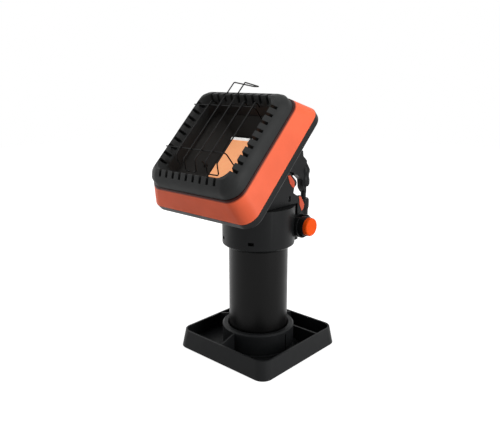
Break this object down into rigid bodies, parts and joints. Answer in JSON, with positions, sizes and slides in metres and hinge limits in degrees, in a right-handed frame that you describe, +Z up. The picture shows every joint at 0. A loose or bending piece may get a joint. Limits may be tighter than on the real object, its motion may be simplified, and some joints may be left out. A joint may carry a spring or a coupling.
{
  "type": "portable propane heater",
  "caption": "Portable propane heater: square radiant burner head that tilts on a neck, push-and-turn knob, rear carry handle, upright gas bottle standing in a square tray.",
  "frame": {"origin": "centre of the tray's flat underside", "axes": "+Z up, -Y the way the burner faces, +X the side with the knob"},
  "size_m": [0.215, 0.2902, 0.4452],
  "materials": {
    "tray_black": "satin black moulded plastic",
    "housing_black": "satin black moulded plastic",
    "rubber": "matt black",
    "bottle_paint": "satin black paint on steel",
    "orange_paint": "satin orange paint on sheet steel",
    "orange_plastic": "orange moulded plastic",
    "guard_black": "satin black powder coat",
    "reflector_metal": "heat-stained sheet steel",
    "ceramic": "matt porous ceramic",
    "gasket_fibre": "woven heat-proof fibre",
    "wire_steel": "black coated steel wire",
    "zinc_steel": "zinc plated",
    "brass": "machined",
    "aluminium": "bare tube"
  },
  "bodies": {
    "base": {"base_tray": "tray_black", "foot_front_left": "rubber", "foot_front_right": "rubber", "foot_rear_right": "rubber", "foot_rear_left": "rubber"},
    "bottle": {"gas_bottle": "bottle_paint", "bottle_foot_ring": "bottle_paint", "bottle_valve": "brass", "bottle_valve_pin": "brass", "bottle_relief_valve": "brass"},
    "housing": {"lower_housing": "housing_black", "deck_plate": "housing_black", "deck_screws": "zinc_steel", "cheek_right": "housing_black", "cheek_left": "housing_black", "inlay_upper_right": "orange_plastic", "inlay_lower_right": "orange_plastic", "inlay_upper_left": "orange_plastic", "inlay_lower_left": "orange_plastic", "rear_cowl": "housing_black", "tilt_pin": "zinc_steel", "tilt_washers": "zinc_steel", "handle_bracket_upper": "housing_black", "handle_bracket_lower": "housing_black", "handle_bar": "housing_black", "gas_valve_body": "brass", "knob_bezel": "housing_black", "inlet_nut": "brass", "gas_regulator": "brass", "feed_pipe": "aluminium", "riser_pipe": "aluminium", "tip_switch_case": "housing_black", "igniter_module": "housing_black", "swivel_inlet": "brass"},
    "switch_ball": {"tip_switch_ball": "zinc_steel"},
    "knob_push": {"valve_plunger": "zinc_steel"},
    "knob": {"knob_skirt": "housing_black", "knob_cap": "orange_plastic", "valve_spindle": "zinc_steel"},
    "head": {"swivel_outlet": "brass", "tilt_neck": "housing_black", "back_shell": "housing_black", "shell_screws": "zinc_steel", "orange_shell": "orange_paint", "front_guard": "guard_black", "reflector_pan": "reflector_metal", "burner_tile": "ceramic", "tile_frame": "zinc_steel", "tile_gasket": "gasket_fibre", "burner_box": "zinc_steel", "mixing_tube": "zinc_steel", "gas_jet": "brass", "head_pipe": "aluminium", "heat_shield": "reflector_metal", "spark_electrode": "zinc_steel", "heat_sensor": "zinc_steel", "guard_wire_left": "wire_steel", "guard_wire_right": "wire_steel", "guard_cross_upper": "wire_steel", "guard_cross_lower": "wire_steel"}
  },
  "joints": [
    {"name": "bottle_lift", "type": "slide", "parent": "base", "child": "bottle", "axis": [0, 0, 1], "range_m": [0, 0.06]},
    {"name": "heater_turn", "type": "hinge", "parent": "bottle", "child": "housing", "pos_m": [0, 0, 0.215], "axis": [0, 0, 1], "continuous": true},
    {"name": "head_tilt", "type": "hinge", "parent": "housing", "child": "head", "pos_m": [0, 0.025, 0.261], "axis": [1, 0, 0], "range_deg": [0, 45]},
    {"name": "knob_push", "type": "slide", "parent": "housing", "child": "knob_push", "axis": [-1, 0, 0], "range_m": [0, 0.003], "stiffness_N_per_m": 1500, "springref_m": -0.002},
    {"name": "knob_turn", "type": "hinge", "parent": "knob_push", "child": "knob", "pos_m": [0.07, 0.045, 0.215], "axis": [1, 0, 0], "range_deg": [0, 100]},
    {"name": "switch_ball_roll", "type": "slide", "parent": "housing", "child": "switch_ball", "axis": [1, 0, 0], "range_m": [-0.0025, 0.0025]}
  ]
}
